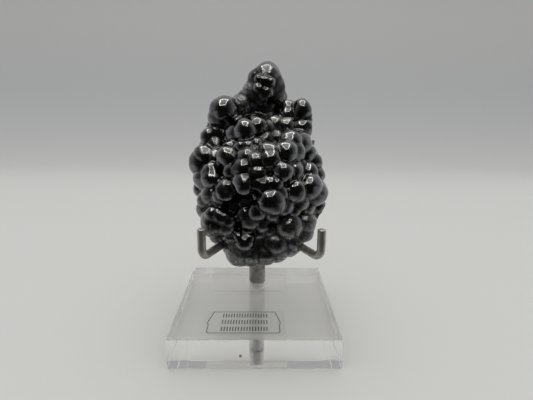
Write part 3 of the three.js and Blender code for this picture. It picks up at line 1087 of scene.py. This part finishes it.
def pale_sides():
    """The pale walls at the sides and behind, as the polished surfaces see them."""
    pale = Finish("pale_card")
    x, y, _z = pale.millimetres()
    behind = x.absolute().math("ARCTAN2", y * -1).rise(*PALE_TURN)
    glow = PALE_GLOW[0] + behind * (PALE_GLOW[1] - PALE_GLOW[0])
    finish = pale.done(pale.principled(
        Base_Color=(0, 0, 0, 1), Roughness=1.0, Emission_Color=(1, 1, 0.99, 1),
        Emission_Strength=glow,
    ))
    card("pale_card", [(PALE_RADIUS, 0), (PALE_RADIUS, PALE_TOP)], 0, 2 * math.pi, finish)


def lamp(name, place, width, depth, radiance, colour=(1, 1, 1), glossy=True, diffuse=True):
    """A flat lamp that faces down. Radiance is how bright its face is."""
    light = bpy.data.lights.new(name, "AREA")
    light.shape = "RECTANGLE"
    light.size = width * MM
    light.size_y = depth * MM
    light.color = colour
    light.energy = radiance * math.pi * light.size * light.size_y
    thing = bpy.data.objects.new(name, light)
    thing.location = Vector(place) * MM
    thing.visible_camera = False
    thing.visible_glossy = glossy
    thing.visible_diffuse = diffuse
    thing.visible_transmission = diffuse
    bpy.context.scene.collection.objects.link(thing)
    return thing


def ring_lamp():
    """Four lamps in a square ring overhead, and the soft roof inside it."""
    x, y, z = RING_CENTRE
    wide, deep = RING_SIZE
    side, end = wide * RING_BAND, deep * RING_BAND
    inside = wide - 2 * side
    across, along = (wide - side) / 2, (deep - end) / 2
    for name, place, width, depth, glow in (
        ("ring_left", (x - across, y, z), side, deep, RING_GLOW),
        ("ring_right", (x + across, y, z), side, deep, RING_GLOW),
        ("ring_front", (x, y - along, z), inside, end, RING_GLOW),
        ("ring_back", (x, y + along, z), inside, end, RING_GLOW),
        ("roof", (x, y, z + ROOF_LIFT), inside, deep - 2 * end, ROOF_GLOW),
    ):
        lamp(name, place, width, depth, glow, RING_COLOUR, diffuse=False)


def camera():
    """The camera, in front of the stand and a little above it."""
    data = bpy.data.cameras.new("camera")
    data.sensor_width = SENSOR_WIDTH
    data.lens = VIEW_FOCAL_PX / VIEW_WIDTH_PX * SENSOR_WIDTH
    data.clip_start = 0.005
    data.clip_end = 20
    thing = bpy.data.objects.new("camera", data)
    thing.matrix_world = (
        Matrix.Translation(Vector(EYE) * MM)
        @ Matrix.Rotation(-EYE_TURN, 4, "Z")
        @ Matrix.Rotation(math.pi / 2 - EYE_TILT, 4, "X")
        @ Matrix.Rotation(EYE_ROLL, 4, "Z")
    )
    bpy.context.scene.collection.objects.link(thing)
    bpy.context.scene.camera = thing


def surroundings():
    """An even pale surround for everything that the lamps and the sweep don't cover."""
    world = bpy.data.worlds.new("surround")
    world.use_nodes = True
    background = world.node_tree.nodes["Background"]
    background.inputs["Color"].default_value = (*SURROUND_COLOUR, 1)
    background.inputs["Strength"].default_value = SURROUND_GLOW
    bpy.context.scene.world = world
    bpy.context.scene.view_settings.view_transform = "Standard"


def light_paths():
    """Lets light pass through the block and round inside it as often as it needs."""
    cycles = bpy.context.scene.cycles
    cycles.max_bounces = MOST_BOUNCES
    cycles.transmission_bounces = MOST_BOUNCES
    cycles.glossy_bounces = MOST_BOUNCES // 2


# ---------------------------------------------------------------- everything in place

post_low, post_high = cad_size("post")
POST = (post_low + post_high) / 2
ARM_PATHS = [arm_path("arm_left"), arm_path("arm_right")]

ROD_FINISH = steel_finish(
    "satin_rod_steel", light=(0.6, 0.58, 0.55), dark=(0.46, 0.42, 0.38),
    streak=(0.004, 0.004, 0.02), rough=0.38,
)
POST_FINISH = steel_finish(
    "turned_post_steel", light=(0.4, 0.385, 0.37), dark=(0.27, 0.25, 0.23),
    streak=(0.02, 0.02, 0.0008), rough=0.34,
)
STUD_FINISH = steel_finish(
    "threaded_stud_steel", light=(0.78, 0.77, 0.76), dark=(0.62, 0.61, 0.6),
    streak=(0.01, 0.01, 0.001), rough=0.45,
)

add_piece("hematite_stone", stone(), ore_finish(), "hematite")
add_piece("acrylic_block", clear_block(), acrylic_finish(STICKER, SPECK), "base")
add_piece("turned_post", post(), POST_FINISH, "post")
add_piece("threaded_stud", stud(), STUD_FINISH, "stud")
add_piece("bent_arm_left", arm(*ARM_PATHS[0]), ROD_FINISH, "arm_left")
add_piece("bent_arm_right", arm(*ARM_PATHS[1]), ROD_FINISH, "arm_right")
add_piece("leaning_rest", back_rest(), ROD_FINISH, "back_rest")
add_piece("printed_film", film(), film_finish(), "label")

sweep()
painted_shade_front()
pale_sides()
ring_lamp()
lamp("overhead", OVERHEAD_PLACE, *OVERHEAD_SIZE, OVERHEAD_GLOW, glossy=False)
surroundings()
light_paths()
camera()
